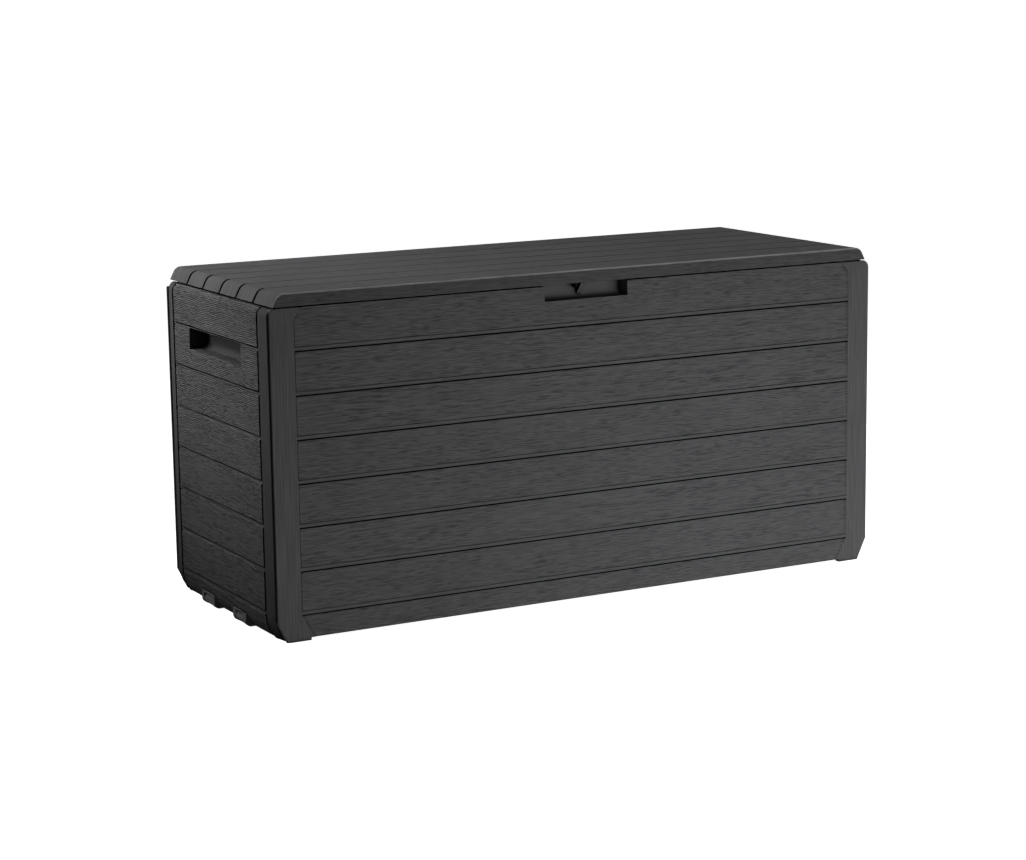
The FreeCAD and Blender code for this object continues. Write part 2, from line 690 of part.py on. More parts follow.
def lid_slits():
    """Slits over both lid ends, and the walls that close them from inside."""
    slits = []
    backs = []
    slit_in = LID_HALF - CROWN_RUN
    for y in spread(SLIT_COUNT, PLANK_PITCH):
        for side in (-1, 1):
            near = sorted((side * slit_in, side * HALF))
            far = sorted((side * (slit_in - SLIT_WALL), side * HALF))
            slit_room = box(near, (-HALF, HALF), (LID_BOTTOM + SLIT_LIFT, HEIGHT + PAST))
            back_room = box(far, (-HALF, HALF), (LID_BOTTOM + SLIT_LIFT - SLIT_WALL, HEIGHT))
            slits.append(lid_layer(-PAST, SLIT_DEEP, y, SLIT_WIDE / 2).common(slit_room))
            back = lid_layer(LID_WALL / 2, SLIT_DEEP + SLIT_WALL, y, SLIT_WIDE / 2 + SLIT_WALL)
            backs.append(back.common(back_room))
        groove_high = (HEIGHT - GROOVE_DEEP, HEIGHT + PAST)
        slits.append(box((-slit_in, slit_in), (y - GROOVE_WIDE / 2, y + GROOVE_WIDE / 2), groove_high))
    return slits, backs


def lid_ribs():
    """Stiffening grid under the lid. Its lower edges rest on the rim's lip."""
    high = (LIP_TOP + FIT, HEIGHT - LID_WALL / 2)
    half_x = LID_HALF - LID_RIB_END_X
    half_y = DEPTH / 2 - LID_RIB_END_Y
    ribs = []
    for x in spread(LID_CROSS_RIB_COUNT, LID_CROSS_RIB_PITCH):
        ribs.append(box((x - RIB / 2, x + RIB / 2), (FRONT + APRON / 2, half_y), high))
    for y in spread(LID_LONG_RIB_COUNT, LID_LONG_RIB_PITCH):
        ribs.append(box((-half_x, half_x), (y - RIB / 2, y + RIB / 2), high))
    return ribs


def lid_lug():
    """The lid's own lug beside the padlock lug, with the same eye."""
    radius = EYE_RADIUS + LID_LUG_WALL
    right = -LUG_THICK / 2 - LID_LUG_SPACE
    middle = right - LID_LUG_THICK / 2
    tip = rod(radius, point(middle, EYE_Y, EYE_Z), point(1, 0, 0), LID_LUG_THICK)
    sides = (right - LID_LUG_THICK, right)
    neck = box(sides, (EYE_Y - radius, EYE_Y + radius), (EYE_Z, HEIGHT - LID_WALL / 2))
    eye = rod(EYE_RADIUS, point(middle, EYE_Y, EYE_Z), point(1, 0, 0), LID_LUG_THICK + 2 * PAST)
    return fused([tip, neck]).cut(eye)


def lid():
    """Shallow tray with rounded ends, plank slits, stiffening ribs, knuckles and a lug."""
    outer = lid_section(0, LID_BOTTOM, (FRONT, -FRONT))
    edges = []
    for edge in outer.Edges:
        middle = edge.CenterOfMass
        if abs(middle.y - FRONT) < FIT and middle.z > LID_BOTTOM + FIT:
            edges.append(edge)
    outer = outer.makeFillet(LID_EDGE_ROUND, edges)
    inner = lid_section(LID_WALL, LID_BOTTOM - PAST, (FRONT + APRON, -FRONT - APRON))
    slits, backs = lid_slits()
    pieces = [outer.cut(inner)] + backs + lid_ribs() + [lid_lug()]
    tray = fused(pieces)
    bores = []
    notches = []
    knuckles = []
    half_notch = KNUCKLE_LONG / 2 + HINGE_SIDE_GAP + EAR_LONG + FIT + PIN_HEAD_THICK + NOTCH_SIDE
    for place in HINGE_PLACES:
        x = place * HINGE_PITCH
        deep = (HINGE_Y - BARREL_RADIUS, DEPTH / 2 + PAST)
        notches.append(box((x - half_notch, x + half_notch), deep, (LID_BOTTOM - PAST, SEAM + NOTCH_HIGH)))
        sides = (x - KNUCKLE_LONG / 2, x + KNUCKLE_LONG / 2)
        neck_deep = (HINGE_Y - BARREL_RADIUS, HINGE_Y + BARREL_RADIUS)
        knuckles.append(hinge_barrel(x, KNUCKLE_LONG))
        knuckles.append(box(sides, neck_deep, (SEAM, HEIGHT - LID_WALL / 2)))
        bores.append(rod(PIN_RADIUS + RUN, point(x, HINGE_Y, SEAM), point(1, 0, 0), KNUCKLE_LONG + 2 * PAST))
    return fused([tray.cut(notches + slits)] + knuckles).cut(bores)


def wheel_centre(side):
    """Middle of a wheel: just inside the outer face and just below the hood."""
    x = -END_FACE + WHEEL_GAP + WHEEL_RADIUS
    z = HOOD_TOP - HOOD_THICK - WHEEL_GAP - WHEEL_RADIUS
    return point(x, side * WHEEL_OFFSET, z)


def wheel_housing(side):
    """Two cheeks and a hood round the wheel, with a back plate behind the end panel."""
    centre = wheel_centre(side)

    def place(u, z):
        return point(u, centre.y - HOUSING_WIDE / 2, z)

    low = END_LIFT
    corner = (1.5 * math.pi, math.pi)
    bend, bend_low, bend_top = arc_about(
        -END_FACE + HOUSING_ROUND, low + HOUSING_ROUND, HOUSING_ROUND, corner, place,
    )
    back = -END_FACE + HOUSING_DEEP
    top_corners = [place(-END_FACE, HOOD_TOP), place(back, HOOD_TOP)]
    outline = polygon([bend_top] + top_corners + [place(back, low), bend_low])
    body = prism([bend] + outline, point(0, HOUSING_WIDE, 0))
    well_half = HOUSING_WIDE / 2 - CHEEK
    well = box(
        (-END_FACE - PAST, back - HOUSING_BACK),
        (centre.y - well_half, centre.y + well_half),
        (low - PAST, HOOD_TOP - HOOD_THICK),
    )
    wing = HOUSING_WIDE / 2 + HOUSING_WING
    plate = box(
        (back, back + HOUSING_FLANGE),
        (centre.y - wing, centre.y + wing),
        (low, HOOD_TOP + HOUSING_RISE),
    )
    bore = rod(AXLE_RADIUS + RUN, centre, point(0, 1, 0), 2 * (well_half + AXLE_SEAT + FIT))
    return fused([body.cut(well), plate]).cut(bore)


def wheel(side):
    """Small roller with grooves along its tread."""
    centre = wheel_centre(side)
    wide = HOUSING_WIDE - 2 * (CHEEK + WHEEL_SIDE_GAP)
    roller = rod(WHEEL_RADIUS, centre, point(0, 1, 0), wide)
    tools = [rod(AXLE_RADIUS + RUN, centre, point(0, 1, 0), wide + 2 * PAST)]
    for i in range(WHEEL_GROOVE_COUNT):
        tool = box(
            (WHEEL_RADIUS - WHEEL_GROOVE_DEEP, WHEEL_RADIUS + PAST),
            (-wide / 2 - PAST, wide / 2 + PAST),
            (-WHEEL_GROOVE_WIDE / 2, WHEEL_GROOVE_WIDE / 2),
        )
        tool.rotate(point(0, 0, 0), point(0, 1, 0), i * 360 / WHEEL_GROOVE_COUNT)
        tool.translate(centre)
        tools.append(tool)
    return roller.cut(tools)


def wheel_axle(side):
    long = HOUSING_WIDE - 2 * CHEEK + 2 * AXLE_SEAT
    return rod(AXLE_RADIUS, wheel_centre(side), point(0, 1, 0), long)


def main():
    parts = {
        "front_panel": front_panel(),
        "rear_panel": rear_panel(),
        "left_end_panel": left_end_panel(),
        "right_end_panel": right_end_panel(),
        "floor_panel": floor_panel(),
        "lid": lid(),
    }
    for place, name in zip(HINGE_PLACES, HINGE_NAMES):
        parts["hinge_pin_" + name] = hinge_pin(place * HINGE_PITCH)
    for side, name in ((-1, "front"), (1, "rear")):
        parts["wheel_housing_" + name] = wheel_housing(side)
        parts["wheel_" + name] = wheel(side)
        parts["wheel_axle_" + name] = wheel_axle(side)
    os.makedirs("parts", exist_ok=True)
    for name, shape in parts.items():
        shape.exportStep("parts/" + name + ".step")
        solids = len(shape.Solids)
        print(name, "solids", solids, "valid", shape.isValid(), "litres", round(shape.Volume / 1e6, 3))


main()
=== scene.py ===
import math

import bpy
from mathutils import Matrix, Vector

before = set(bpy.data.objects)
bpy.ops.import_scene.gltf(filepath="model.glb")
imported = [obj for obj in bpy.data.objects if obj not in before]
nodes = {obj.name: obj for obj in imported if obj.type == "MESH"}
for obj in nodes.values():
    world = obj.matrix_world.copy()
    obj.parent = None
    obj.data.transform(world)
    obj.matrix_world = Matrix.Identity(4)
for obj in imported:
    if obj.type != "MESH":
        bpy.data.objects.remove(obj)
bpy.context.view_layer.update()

# Outdoor storage box in metres: the origin is at the bottom centre, +X runs along the length,
# the front faces -Y and +Z is up. The solids keep their shapes. This script gives them their
# moulded resin and adds the floor, the light and the camera.

# Sizes of the walls that the moulded texture follows
BODY_TOP = 0.54775
FIRST_SEAM_DROP = 0.06995
PLANK_PITCH = 0.07234
SEAM_BAND = 0.0057  # flush band above each seam
BAND_EDGE = 0.0006  # how softly the texture changes at a band's edge
LINE_EDGE = 0.0002  # how softly a shaded line ends
FIELD_HALF = 0.540  # plank field of the front and rear panels
TOP_KINK = 0.52835  # the field's upper corners are cut off above this height
TOP_KINK_SLOPE = 12.5 / 19.4
LOW_KINK = 0.044  # its lower corners are cut off below this height
LOW_KINK_SLOPE = 22.0 / 39.5
END_FIELD_HALF = 0.185  # middle of the groove beside the end planks
END_GROOVE_HALF = 0.003
OUTER_SKIN = 0.2185  # what lies further out in Y is the textured outer skin
END_SKIN = 0.565  # what lies further out in X is the end panels' textured skin

# How far a surface's normal has to point outward to be textured
LONG_FACING = 0.3
END_FACING = 0.05
APRON_FACING = 0.7
TOP_FACING = 0.1

# Lines and edges with painted shade or a painted highlight: their sizes
GROOVE_WIDE = 0.0026  # painted shade in the deep groove under each band
GROOVE_RISE = 0.0005  # the groove's line reaches this far up the band
LIP_WIDE = 0.0014  # painted shade along the lower edge of each plank
BORDER_WIDE = 0.0017  # painted shade along the left border of the plank field
PANEL_SIDE = 0.5812  # where the painted shade on the front panel's sides begins
SIDE_EASE = 0.0028  # over this distance
REAR_SIDE = 0.5795  # further out, the rear panel's edge gets no painted shade
END_LINE = 0.0027  # painted shade in a line under each end plank
# painted shade over the lid's slits, reaching a little past their edges
SLIT_HALF = 0.0037
SLIT_SPAN = 0.170  # slits of the lid lie within this distance of the middle
SLIT_START = 0.5555  # and further out in X than this
LUG_HALF = 0.006  # body's padlock lug
LUG_FACING = -0.5  # its left side, which gets painted shade
LID_LUG_TOP = 0.549  # the lid's padlock lug hangs below this height
LID_LUG_REACH = 0.020  # and within this distance of the middle
LID_EDGE = (-0.52, -0.20)  # Y times Z of the normals on the lid's rounded front edge, which gets a painted highlight

# Painted shade on lines and edges: share of the colour that is left, above 1 for a painted highlight
GROOVE_LEVEL = 0.06
LIP_LEVEL = 0.60
LUG_LEVEL = 0.05
BORDER_LEVEL = 0.30
SIDE_LEVEL = 0.08
END_LINE_LEVEL = 0.08
END_BAND_LEVEL = 0.88
END_GROOVE_LEVEL = 0.10
STRIP_LEVEL = 0.56  # painted shade on the strips beside the end planks
SLIT_LEVEL = 0.05
LID_EDGE_HIGHLIGHT = 3.0
APRON_LEVEL = 0.80  # painted shade on the lid's front apron
LID_LUG_LEVEL = 0.12

# Painted shade where surfaces stand close together
CREVICE = 0.009  # reach in grooves and inner corners
CREVICE_RANGE = (0.30, 0.90)
CREVICE_LEVEL = 0.10  # share that is left in the deepest places
GROUND_SHADE = 0.5  # reach of the painted shade near the ground on the end panels
GROUND_LEVEL = 0.1  # share that is left where nothing is open
OPENNESS_SAMPLES = 8

# Moulded wood grain: length, width and detail of each noise
SWAY = (0.110, 0.045, 1.0)  # slow bend of the fibres
STREAKS = (0.055, 0.0024, 1.0)  # soft streaks
DASHES = (0.021, 0.0018, 0.0)  # short cut lines
CROWDS = (0.085, 0.030, 1.0)  # where the cut lines crowd together
FINE_GRAIN = (0.090, 0.0024, 2.0)  # straight grain of posts and strips
SWAY_REACH = 0.005  # how far the bend moves a fibre
NOISE_MIDDLE = 0.5
RIPPLE = 0.0031  # pitch of the even rows of fibres
END_STRETCH = 0.8  # the end panels' fibres are shorter

# Moulded wood grain: levels of the noise between which a feature fades in
STREAK_RANGE = (0.36, 0.64)
DASH_RANGE = (0.54, 0.63)
CROWD_RANGE = (0.35, 0.62)
FINE_RANGE = (0.3, 0.7)

# Moulded wood grain: heights
PLAIN_HEIGHT = 0.75  # surface without grain
BAND_HEIGHT = 0.80  # middle of the fainter grain on the bands
BAND_GRAIN = 0.4  # share of the grain that the bands keep
STRIP_GRAIN = 0.35  # share of the fine grain that the strips keep
STREAK_RISE = 0.30
STREAK_BASE = 0.65
STREAK_RIPPLE = 0.7  # share of the ripple that follows the streaks
CROWD_LEAST = 0.55  # depth of the cut lines that stand alone
FINE_RISE = 0.45
FINE_BASE = 0.53

# Depth of the rows of fibres and of the cut lines
LONG_GRAIN = (0.20, 0.50)
END_GRAIN = (0.55, 0.40)
LID_TOP_GRAIN = (0.05, 0.50)
APRON_GRAIN = (0.15, 0.50)

# Seeds of the grain, so that it differs from plank to plank
LONG_ROW_SEED = 3.7
LONG_SIDE_SEED = 7.0
END_ROW_SEED = 2.9
END_SIDE_SEED = 5.0
LID_TOP_SEED = 60.0
APRON_SEED = 75.0

# Surface of all resin pieces
CLOUD = (0.20, 3.0)  # faint mottling of the colour: size and detail
CLOUD_TONE = 0.16
PIT = (0.0007, 1.0)  # fine sparkle of the mould's surface: size and detail
PIT_TONE = 0.10
PIT_ROUGHNESS = 0.10
PIT_RELIEF = 0.06
SPARK = (0.0011, 2.0)  # texture of the pieces without grain: size and detail
ROUGHNESS_SWING = 0.12  # ridges are smoother and cut lines rougher
RESIN_IOR = 1.49
SPECULAR_LEVEL = 0.0  # the photographed resin is matt: no white surround shows in it
EDGE_RADIUS = 0.0009
EDGE_SAMPLES = 6

# Colours, linear
RESIN = (0.0500, 0.0500, 0.0512)
RESIN_END = (0.0610, 0.0610, 0.0624)
RESIN_FLOOR = (0.045, 0.045, 0.0460)
FITTINGS = (0.044, 0.044, 0.0450)
WHEEL_BLACK = (0.050, 0.050, 0.0510)

# Contrast of the relief in the colour (painted light on the grain's ridges, painted shade in its cut
# lines), depth of the relief and roughness
LONG_FINISH = (0.64, 0.0010, 0.55)
END_FINISH = (0.95, 0.0030, 0.55)
LID_FINISH = (0.50, 0.0008, 0.55)
FLOOR_FINISH = (0.10, 0.0002, 0.62)
FITTINGS_FINISH = (0.10, 0.0001, 0.5)
WHEEL_FINISH = (0.10, 0.0002, 0.6)

# Camera
LENS = 90.43
SENSOR = 36.0
CAMERA_AT = (-2.16445, -3.97072, 1.09202)
AZIMUTH = -28.31
ELEVATION = 10.4
ROLL = -0.81
CLIP_END = 2000.0

# Sockets of a Mix node, for numbers and for colours
MIX_FACTOR = 0
MIX_NUMBERS = (2, 3)
MIX_COLOURS = (6, 7)
MIX_COLOUR_OUT = 2

# Studio
FLOOR_REACH = 600.0
FLOOR_GREY = 0.50
FLOOR_WHITE = 0.95  # added where the floor is seen directly or in a reflection
WORLD_LEVEL = 0.15
WORLD_WHITE = 1.0  # where the surround is seen directly or in a reflection
OPEN_SPREAD = 180.0
LAMPS = (  # name, place, aim, size, watts and spread in degrees
    ("side_lamp", (-1.7, 1.3, 1.7), (-0.585, 0.15, 0.58), (0.6, 0.6), 5.4, 40.0),
    ("end_lamp", (-2.6, 0.9, 1.3), (-0.585, 0.1, 0.5), (0.8, 0.6), 1.35, 24.0),
    ("top_lamp", (1.6, 0.6, 2.4), (0.3, 0.0, 0.57), (1.6, 1.6), 63.6, OPEN_SPREAD),
    ("front_lamp", (0.9, -2.4, 0.25), (0.4, -0.22, 0.15), (2.4, 0.4), 48.2, OPEN_SPREAD),
    ("low_lamp", (0.9, -3.6, 0.7), (0.3, -0.22, -0.30), (0.8, 0.6), 4.7, 36.0),
)


class Graph:
    """Small helper that writes the nodes of one material or of the world."""

    def __init__(self, owner):
        self.owner = owner
        owner.use_nodes = True
        self.tree = owner.node_tree
        self.tree.nodes.clear()

    def node(self, kind, **settings):
        made = self.tree.nodes.new(kind)
        for key, value in settings.items():
            setattr(made, key, value)
        return made

    def put(self, socket, value):
        """Gives a socket a link or a fixed value."""
        if isinstance(value, bpy.types.NodeSocket):
            self.tree.links.new(value, socket)
        else:
            socket.default_value = value

    def math(self, operation, first, second=0.0, third=0.0):
        made = self.node("ShaderNodeMath", operation=operation)
        for socket, value in zip(made.inputs, (first, second, third)):
            self.put(socket, value)
        return made.outputs[0]

    def times(self, first, second):
        return self.math("MULTIPLY", first, second)

    def minus(self, first, second):
        return self.math("SUBTRACT", first, second)

    def scaled(self, value, factor, added):
        """The value times the factor, plus what is added."""
        return self.math("MULTIPLY_ADD", value, factor, added)

    def absolute(self, value):
        return self.math("ABSOLUTE", value)

    def less(self, first, second):
        return self.math("LESS_THAN", first, second)

    def more(self, first, second):
        return self.math("GREATER_THAN", first, second)

    def noise(self, place, detail):
        made = self.node("ShaderNodeTexNoise", noise_dimensions="3D")
        self.put(made.inputs["Vector"], place)
        made.inputs["Scale"].default_value = 1.0
        made.inputs["Detail"].default_value = detail
        return made.outputs[0]

    def even_noise(self, size, detail):
        """Noise with the same feature size, in metres, in all directions."""
        place = self.node("ShaderNodeVectorMath", operation="SCALE")
        self.put(place.inputs[0], self.node("ShaderNodeTexCoord").outputs["Object"])
        place.inputs["Scale"].default_value = 1.0 / size
        return self.noise(place.outputs[0], detail)

    def long_noise(self, along, across, seed, long, wide, detail):
        """Noise drawn out along one direction; long and wide are its feature sizes in metres."""
        place = self.node("ShaderNodeCombineXYZ")
        self.put(place.inputs[0], self.math("DIVIDE", along, long))
        self.put(place.inputs[1], self.math("DIVIDE", across, wide))
        self.put(place.inputs[2], seed)
        return self.noise(place.outputs[0], detail)

    def smooth(self, value, low, high, start=0.0, end=1.0):
        """Goes softly from start to end while the value goes from low to high."""
        made = self.node("ShaderNodeMapRange", interpolation_type="SMOOTHSTEP")
        self.put(made.inputs["Value"], value)
        made.inputs["From Min"].default_value = low
        made.inputs["From Max"].default_value = high
        made.inputs["To Min"].default_value = start
        made.inputs["To Max"].default_value = end
        return made.outputs[0]

    def blend(self, factor, first, second):
        """The first value where the factor is 0, the second where it is 1."""
        made = self.node("ShaderNodeMix", data_type="FLOAT")
        self.put(made.inputs[MIX_FACTOR], factor)
        for socket, value in zip(MIX_NUMBERS, (first, second)):
            self.put(made.inputs[socket], value)
        return made.outputs[0]


def material_graph(name):
    """Helper for a new material with this name."""
    return Graph(bpy.data.materials.new(name))


def coordinates(g):
    """Object coordinates and normal, each split in three."""
    source = g.node("ShaderNodeTexCoord")
    place = g.node("ShaderNodeSeparateXYZ")
    g.put(place.inputs[0], source.outputs["Object"])
    normal = g.node("ShaderNodeSeparateXYZ")
    g.put(normal.inputs[0], source.outputs["Normal"])
    return place.outputs[:], normal.outputs[:]


def wood_relief(g, along, across, seed, ripple, cuts):
    """Height of the moulded wood grain: 1 on its ridges, about 0 in the short cut lines."""
    sway = g.long_noise(along, across, seed, *SWAY)
    bent = g.scaled(g.minus(sway, NOISE_MIDDLE), SWAY_REACH, across)
    streak = g.smooth(g.long_noise(along, bent, seed, *STREAKS), *STREAK_RANGE)
    cut = g.smooth(g.long_noise(along, bent, seed, *DASHES), *DASH_RANGE)
    crowd = g.smooth(g.long_noise(along, bent, seed, *CROWDS), *CROWD_RANGE, CROWD_LEAST)
    rows = g.math("SINE", g.times(bent, math.tau / RIPPLE))
    ridge = g.scaled(streak, STREAK_RISE, STREAK_BASE)
    swell = g.scaled(streak, STREAK_RIPPLE * ripple, (1.0 - STREAK_RIPPLE) * ripple)
    ridge = g.scaled(rows, swell, ridge)
    return g.minus(ridge, g.times(g.times(cut, crowd), cuts))


def fine_relief(g, along, across, seed):
    """Height of the fine straight grain on the posts and strips."""
    fine = g.smooth(g.long_noise(along, across, seed, *FINE_GRAIN), *FINE_RANGE)
    return g.scaled(fine, FINE_RISE, FINE_BASE)


def openness(g, reach):
    """1 on open surfaces, less where something stands within reach."""
    made = g.node("ShaderNodeAmbientOcclusion", samples=OPENNESS_SAMPLES)
    made.inputs["Distance"].default_value = reach
    return made.outputs["AO"]


def crevice_shade(g):
    """Painted shade: 1 on open surfaces, falling in grooves and inner corners."""
    return g.smooth(openness(g, CREVICE), *CREVICE_RANGE, CREVICE_LEVEL)


def resin_colour(g, colour, height, contrast, cloud, pit, painted_shading):
    """The colour, lighter and darker with the relief, times the painted shade and highlight of the
    masks, with faint mottling.
    """
    level = g.scaled(height, contrast, 1.0 - PLAIN_HEIGHT * contrast)
    level = g.scaled(cloud, CLOUD_TONE, level)
    level = g.scaled(pit, PIT_TONE, level)
    level = g.times(level, painted_shading)
    grey = g.node("ShaderNodeCombineColor")
    for socket in grey.inputs:
        g.put(socket, level)
    tint = g.node("ShaderNodeMix", data_type="RGBA", blend_type="MULTIPLY")
    tint.inputs[MIX_FACTOR].default_value = 1.0
    for socket, value in zip(MIX_COLOURS, ((*colour, 1.0), grey.outputs[0])):
        g.put(tint.inputs[socket], value)
    return tint.outputs[MIX_COLOUR_OUT]


def resin_normal(g, height, pit, depth):
    """Normal of the relief, with slightly rounded edges."""
    edge = g.node("ShaderNodeBevel", samples=EDGE_SAMPLES)
    edge.inputs["Radius"].default_value = EDGE_RADIUS
    bump = g.node("ShaderNodeBump")
    bump.inputs["Distance"].default_value = depth
    g.put(bump.inputs["Height"], g.scaled(pit, PIT_RELIEF, height))
    g.put(bump.inputs["Normal"], edge.outputs[0])
    return bump.outputs[0]


def finish_resin(g, colour, height, finish, painted_shading=1.0):
    """Resin shader: the relief moves the colour (painted light and shade), the roughness and the
    normal.
    """
    contrast, depth, roughness = finish
    cloud = g.minus(g.even_noise(*CLOUD), NOISE_MIDDLE)
    pit = g.minus(g.even_noise(*PIT), NOISE_MIDDLE)
    shader = g.node("ShaderNodeBsdfPrincipled")
    g.put(shader.inputs["Base Color"], resin_colour(g, colour, height, contrast, cloud, pit, painted_shading))
    rough = g.scaled(height, -ROUGHNESS_SWING, roughness + PLAIN_HEIGHT * ROUGHNESS_SWING)
    g.put(shader.inputs["Roughness"], g.scaled(pit, PIT_ROUGHNESS, rough))
    shader.inputs["IOR"].default_value = RESIN_IOR
    shader.inputs["Specular IOR Level"].default_value = SPECULAR_LEVEL
    g.put(shader.inputs["Normal"], resin_normal(g, height, pit, depth))
    out = g.node("ShaderNodeOutputMaterial")
    g.put(out.inputs[0], shader.outputs[0])
    return g.owner


def plank_rows(g, z):
    """Plank number, height above the seam and a mask that is 1 on planks and 0 on the bands."""
    rows = g.math("DIVIDE", g.minus(z, BODY_TOP - FIRST_SEAM_DROP), PLANK_PITCH)
    number = g.math("FLOOR", rows)
    over = g.times(g.minus(rows, number), PLANK_PITCH)
    return number, over, g.smooth(over, SEAM_BAND - BAND_EDGE, SEAM_BAND + BAND_EDGE)


def on_planks(g, plank, wood):
    """The wood grain, fainter on the bands between the planks."""
    return g.blend(g.scaled(plank, 1.0 - BAND_GRAIN, BAND_GRAIN), BAND_HEIGHT, wood)


def within(g, value, low, high):
    """1 where a value lies between two limits, with softly drawn edges."""
    rise = g.smooth(value, low - LINE_EDGE, low + LINE_EDGE)
    fall = g.smooth(value, high - LINE_EDGE, high + LINE_EDGE, 1.0, 0.0)
    return g.times(rise, fall)


def with_painted_shading(g, painted_shading, masks):
    """The painted shading, times each mask's level where that mask is 1."""
    for mask, level in masks:
        painted_shading = g.times(painted_shading, g.scaled(mask, level - 1.0, 1.0))
    return painted_shading


def outward(g, place, normal, least):
    """1 where a surface faces away from the box's middle along one axis."""
    return g.more(g.times(g.math("SIGN", place), normal), least)


def field_half(g, z):
    """Half the plank field's length at a height, with its four corners cut off."""
    up = g.times(g.math("MAXIMUM", g.minus(z, TOP_KINK), 0.0), TOP_KINK_SLOPE)
    low = g.times(g.math("MAXIMUM", g.minus(LOW_KINK, z), 0.0), LOW_KINK_SLOPE)
    return g.minus(g.minus(FIELD_HALF, up), low)


def seam_shade_masks(g, over, field):
    """Painted shade in the groove under each band and on the lip above it, each with its level."""
    groove = within(g, over, PLANK_PITCH - GROOVE_WIDE, PLANK_PITCH + GROOVE_WIDE)
    groove = g.math("MAXIMUM", groove, within(g, over, -GROOVE_WIDE, GROOVE_RISE))
    lip = within(g, over, SEAM_BAND, SEAM_BAND + LIP_WIDE)
    return [(g.times(groove, field), GROOVE_LEVEL), (g.times(lip, field), LIP_LEVEL)]


def long_edge_shade_masks(g, x, y, normal, half, plank):
    """Painted shade on the lug's left side, the plank field's left border and the front panel's
    sides, each with its level.
    """
    reach = g.absolute(x)
    lug = g.times(g.less(reach, LUG_HALF), g.less(normal[0], LUG_FACING))
    border = g.times(within(g, g.minus(half, reach), 0.0, BORDER_WIDE), plank)
    sides = g.smooth(reach, PANEL_SIDE, PANEL_SIDE + SIDE_EASE)
    return [
        (lug, LUG_LEVEL),
        (g.times(border, g.less(x, 0.0)), BORDER_LEVEL),
        (g.times(sides, g.less(y, 0.0)), SIDE_LEVEL),
    ]


def long_panel_material():
    """Front and rear panels: wood grain along X on the planks, upright grain on the posts."""
    g = material_graph("long_panel_resin")
    (x, y, z), normal = coordinates(g)
    number, over, plank = plank_rows(g, z)
    half = field_half(g, z)
    field = g.less(g.absolute(x), half)
    side = g.times(g.math("SIGN", y), LONG_SIDE_SEED)
    wood = wood_relief(g, x, z, g.scaled(number, LONG_ROW_SEED, side), *LONG_GRAIN)
    height = g.blend(field, fine_relief(g, z, x, side), on_planks(g, plank, wood))
    outer = g.times(g.more(g.absolute(y), OUTER_SKIN), outward(g, y, normal[1], LONG_FACING))
    height = g.blend(outer, PLAIN_HEIGHT, height)
    # painted shade in the seams, on the lug's left side, along the field's left border, on the front
    # panel's sides and in crevices; the rear panel's outer edge gets none
    masks = seam_shade_masks(g, over, field) + long_edge_shade_masks(g, x, y, normal, half, plank)
    rear_edge = g.times(g.more(y, 0.0), g.more(g.absolute(x), REAR_SIDE))
    painted_shading = g.math("MAXIMUM", with_painted_shading(g, crevice_shade(g), masks), rear_edge)
    return finish_resin(g, RESIN, height, LONG_FINISH, painted_shading)


def end_panel_shade(g, across, over, plank, skin):
    """Painted shade: dark lines of the seams and grooves, darker bands and strips, in crevices and
    near the ground.
    """
    planks = g.less(across, END_FIELD_HALF - END_GROOVE_HALF)
    line = g.times(within(g, over, SEAM_BAND - END_LINE, SEAM_BAND + LINE_EDGE), planks)
    band = g.times(within(g, over, -LIP_WIDE, SEAM_BAND), planks)
    groove = within(g, across, END_FIELD_HALF - END_GROOVE_HALF, END_FIELD_HALF + END_GROOVE_HALF)
    masks = (
        (g.times(line, skin), END_LINE_LEVEL),
        (g.times(band, skin), END_BAND_LEVEL),
        (g.times(groove, plank), END_GROOVE_LEVEL),
        (g.more(across, END_FIELD_HALF + END_GROOVE_HALF), STRIP_LEVEL),
    )
    ground = g.scaled(openness(g, GROUND_SHADE), 1.0 - GROUND_LEVEL, GROUND_LEVEL)
    return with_painted_shading(g, g.times(crevice_shade(g), ground), masks)


def end_panel_material():
    """End panels: wood grain along Y on the planks, upright grain on the strips."""
    g = material_graph("end_panel_resin")
    (x, y, z), normal = coordinates(g)
    number, over, plank = plank_rows(g, z)
    across = g.absolute(y)
    side = g.times(g.math("SIGN", x), END_SIDE_SEED)
    row_seed = g.scaled(number, END_ROW_SEED, side)
    wood = wood_relief(g, g.math("DIVIDE", y, END_STRETCH), z, row_seed, *END_GRAIN)
    strips = g.blend(STRIP_GRAIN, PLAIN_HEIGHT, fine_relief(g, z, y, side))
    height = g.blend(g.less(across, END_FIELD_HALF), strips, on_planks(g, plank, wood))
    skin = g.more(g.absolute(x), END_SKIN)
    outer = g.times(skin, outward(g, x, normal[0], END_FACING))
    height = g.blend(outer, PLAIN_HEIGHT, height)
    painted_shading = end_panel_shade(g, across, over, plank, skin)
    return finish_resin(g, RESIN_END, height, END_FINISH, painted_shading)


def lid_shade(g, x, y, z, normal, apron):
    """Painted shade in the slits, on the lid's lug, on the front apron and in crevices, and a
    painted highlight along the front edge.
    """
    row = g.times(g.math("ROUND", g.math("DIVIDE", y, PLANK_PITCH)), PLANK_PITCH)
    slit = g.less(g.absolute(g.minus(y, row)), SLIT_HALF)
    slit = g.times(slit, g.less(g.absolute(y), SLIT_SPAN))
    slit = g.times(slit, g.more(g.absolute(x), SLIT_START))
    masks = (
        (slit, SLIT_LEVEL),
        (within(g, g.times(normal[1], normal[2]), *LID_EDGE), LID_EDGE_HIGHLIGHT),
        (g.times(apron, g.less(y, 0.0)), APRON_LEVEL),
        (g.times(g.less(z, LID_LUG_TOP), g.less(g.absolute(x), LID_LUG_REACH)), LID_LUG_LEVEL),
    )
    return with_painted_shading(g, crevice_shade(g), masks)


